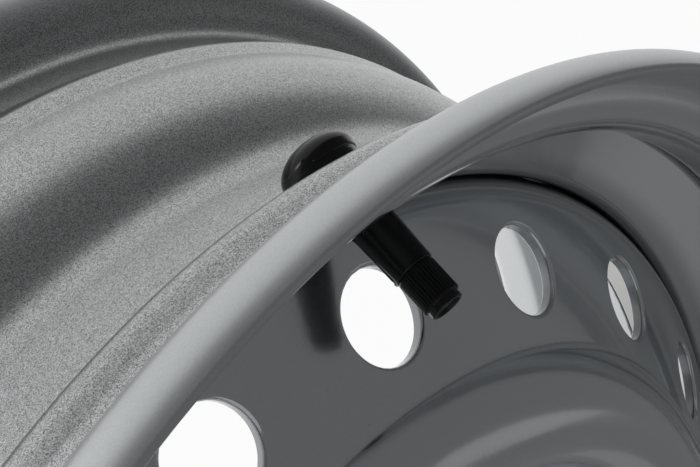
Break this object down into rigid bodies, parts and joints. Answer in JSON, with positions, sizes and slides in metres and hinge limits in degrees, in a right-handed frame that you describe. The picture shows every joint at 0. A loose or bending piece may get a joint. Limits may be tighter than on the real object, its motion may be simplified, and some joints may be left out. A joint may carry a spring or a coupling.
{
  "type": "steel wheel rim",
  "caption": "Pressed steel road wheel: rolled rim with curled flanges and drop centre, welded vented disc with bolt seats, and a rubber snap-in tyre valve.",
  "frame": {"origin": "centre of the bolt circle on the hub face", "axes": "+Z along the wheel's axis towards its outer side, +X towards the valve"},
  "size_m": [0.4148, 0.4146, 0.1584],
  "materials": {
    "rim_paint": "silver-grey paint, smooth on the outer side and grainy on the tyre side",
    "disc_paint": "silver-grey satin paint with orange peel",
    "weld_paint": "rippled weld under thin paint",
    "valve_rubber": "moulded rubber, satin",
    "stem_brass": "turned brass",
    "core_brass": "turned brass",
    "seal_red": "matte",
    "spring_steel": "drawn wire",
    "seal_black": "matte",
    "cap_plastic": "ribbed moulded plastic"
  },
  "bodies": {
    "wheel": {"rim": "rim_paint", "disc": "disc_paint", "weld_beads": "weld_paint", "valve_body": "valve_rubber", "valve_stem": "stem_brass", "core_plug": "core_brass", "core_barrel": "core_brass", "core_seal": "seal_red", "core_spring": "spring_steel"},
    "core_pin_body": {"core_pin": "core_brass", "core_cup": "core_brass", "cup_seal": "seal_black"},
    "valve_cap_body": {"valve_cap": "cap_plastic", "cap_seal": "seal_black"}
  },
  "joints": [
    {"name": "cap_off", "type": "slide", "parent": "wheel", "child": "valve_cap_body", "axis": [-0.5779, 0, 0.8161], "range_m": [0, 0.014]},
    {"name": "pin_press", "type": "slide", "parent": "wheel", "child": "core_pin_body", "axis": [0.5779, 0, -0.8161], "range_m": [0, 0.0015], "stiffness_N_per_m": 300, "springref_m": -0.002, "deforming": ["core_spring"]}
  ]
}
